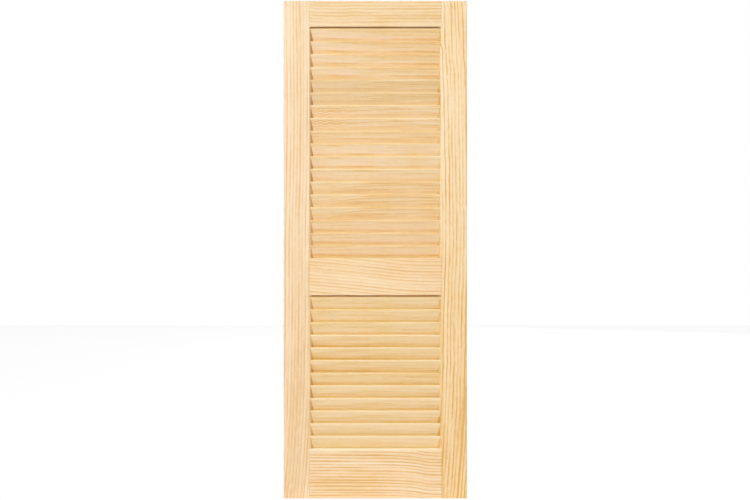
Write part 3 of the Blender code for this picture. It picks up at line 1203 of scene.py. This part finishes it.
for bank, first, last, figure, seed, paler in RUNS:
    for number in range(first, last + 1):
        looks = {**SLAT_GRAIN, **FIGURES[figure], "seed": seed}
        if bank == "lower":
            looks["colours"] = WHEAT
        level, along, across = looks["tone"]
        looks["tone"] = (level - paler, along, across)
        behind, above = looks["pith"]
        looks["pith"] = (behind, above + (number - first) * RUN_DRIFT)
        # Painted light or shade at each foot, and painted light on a first lip.
        stains_and_painted_light = [LAST_FOOT_LIGHT if number == BANKS[bank] else FOOT_LIGHT_AND_SHADE[bank]]
        if number == 1:
            stains_and_painted_light.append(FIRST_LIP_LIGHT)
        dress_in_pine(slats[bank, number], LEANING, stains_and_painted_light=stains_and_painted_light, **looks)
print("slats dressed in", len(RUNS), "runs")

# %% [markdown]
# The dowels.
# Fluted beech dowels hold the rails in the stiles. They are glued inside the joints, so the CAD
# nodes stay as they are and only get a beech of their own: close, pinkish, with short dark rays.

# %% Beech for the dowels
BEECH_PALE = srgb(226, 188, 150)
BEECH_DARK = srgb(196, 146, 104)
BEECH_SHARE = 0.5
BEECH_ROUGH = 0.62
RAY_NOISE = (180.0, 1500.0, 1.0)
RAY_SHARE = 0.9
RAY_ROUGH = 0.2
CLOUD_NOISE = (12.0, 160.0, 2.0)
CLOUD_SHARE = 0.6


def make_beech():
    """Beech whose grain runs along X."""
    material, shader = new_finish("beech_turned")
    place = object_place(material.node_tree)
    rays = drawn_noise(place, *RAY_NOISE)
    clouds = drawn_noise(place, *CLOUD_NOISE)
    dark = rays * RAY_SHARE + BEECH_SHARE + clouds * CLOUD_SHARE
    finish_wood(shader, mixed(dark, BEECH_PALE, BEECH_DARK), rays * RAY_ROUGH + BEECH_ROUGH, rays)
    return material


beech = make_beech()
dowels = [node for name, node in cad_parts.items() if "_dowel_" in name]
for dowel in dowels:
    for holder in dowel.material_slots:
        holder.material = beech
print("dowels in beech:", len(dowels))

# %% [markdown]
# The studio.
# The door stands on a pale floor in front of nothing but white. The floor and the world are plain
# white to the camera, by way of the Light Path node, but the floor is still partly a matt surface, so
# it keeps the door's shadow. Its glow is set so that the floor is just white where the lamps reach it.

# %% Floor and white surround
FLOOR_SIZE = 12.0
FLOOR_GREY = (0.92, 0.92, 0.92, 1.0)
FLOOR_ROUGH = 0.9
FLOOR_SHOW = 0.88
FLOOR_GLOW = 1.06
AMBIENT = 0.03
WHITE = (1.0, 1.0, 1.0, 1.0)


def seen_white(tree):
    """1 for rays that show the surround: from the camera, in a reflection or through glass."""
    rays = add_node(tree, "LightPath").outputs
    shown = Wire(rays["Is Camera Ray"]).apply("MAXIMUM", Wire(rays["Is Glossy Ray"]))
    return shown.apply("MAXIMUM", Wire(rays["Is Transmission Ray"]))


def make_paper():
    """Matt floor paper that is mostly plain white to the camera."""
    material, shader = new_finish("floor_paper")
    tree = material.node_tree
    feed(shader, "Base Color", FLOOR_GREY)
    feed(shader, "Roughness", FLOOR_ROUGH)
    matt = Wire(shader.outputs[0])
    glow = Wire(add_node(tree, "Emission", WHITE, FLOOR_GLOW).outputs[0])
    show = seen_white(tree) * FLOOR_SHOW
    feed(tree.nodes["Material Output"], "Surface", show.through("MixShader", matt, glow))
    return material


bpy.ops.object.select_all(action="DESELECT")
bpy.ops.mesh.primitive_plane_add(size=FLOOR_SIZE, location=(0.0, 0.0, 0.0))
floor = bpy.context.object
floor.name = "floor"
floor.data.materials.append(make_paper())

world = bpy.data.worlds.new("studio")
bpy.context.scene.world = world
world.use_nodes = True
background = world.node_tree.nodes["Background"]
feed(background, "Strength", seen_white(world.node_tree) * (1.0 - AMBIENT) + AMBIENT)
feed(background, "Color", WHITE)
print("floor and surround ready")

# %% [markdown]
# The lamps.
# The picture is lit almost from the front, as catalogue pictures are, by a soft light that stands a
# little to the left: so the stiles' moulded edges lie in shade on the left and in light on the right, and
# painted shade makes them brown on the left and tan on the right. A second soft light hangs high above.
# It catches the lips of the slats and the ledge of the bottom rail, and by way of the floor it brightens
# the slats near it. A third one stands low behind the door and lights its back.

# %% Lamps
LAMP_TARGET = Vector((0.0, 0.0, 0.6))


def add_lamp(name, place, size, level):
    """A soft square lamp that faces the door. At level 1 it alone would light white wood fully."""
    place = Vector(place)
    away = place - LAMP_TARGET
    bpy.ops.object.light_add(type="AREA", location=place)
    lamp = bpy.context.object
    lamp.name = name
    lamp.rotation_euler = away.to_track_quat("Z", "Y").to_euler()
    lamp.data.shape = "SQUARE"
    lamp.data.size = size
    lamp.data.energy = level * (math.pi * away.length) ** 2
    print(f"{name}: {away.length:.1f} m away")


add_lamp("key_left", (-1.4, -5.5, 1.6), size=0.6, level=0.59)
add_lamp("overhead", (0.0, -1.6, 6.5), size=1.6, level=0.48)
add_lamp("back_right", (2.2, 5.2, 0.8), size=1.2, level=0.75)

# %% [markdown]
# The camera.
# It looks straight at the door from half its height. An orthographic camera would keep the door square
# too, but show all its slats alike. This one is near enough that the lower slats show a little of their
# tops and the upper ones a little of their undersides.

# %% Camera
PICTURE_WIDTH = 750
PIXELS_PER_METRE = 413.0
CAMERA_DISTANCE = 2.6
DOOR_MIDDLE_PIXEL = (0.4, 0.3)

aim_x = -DOOR_MIDDLE_PIXEL[0] / PIXELS_PER_METRE
aim_z = (cad_low.z + cad_high.z) / 2 - DOOR_MIDDLE_PIXEL[1] / PIXELS_PER_METRE
bpy.ops.object.camera_add(location=(aim_x, cad_low.y - CAMERA_DISTANCE, aim_z))
camera = bpy.context.object
camera.rotation_euler = (QUARTER_TURN, 0.0, 0.0)
camera.data.lens = camera.data.sensor_width * PIXELS_PER_METRE * CAMERA_DISTANCE / PICTURE_WIDTH
bpy.context.scene.camera = camera
bpy.context.scene.view_settings.view_transform = "Standard"
print(f"camera: {camera.data.lens:.1f} mm lens at {CAMERA_DISTANCE} m")
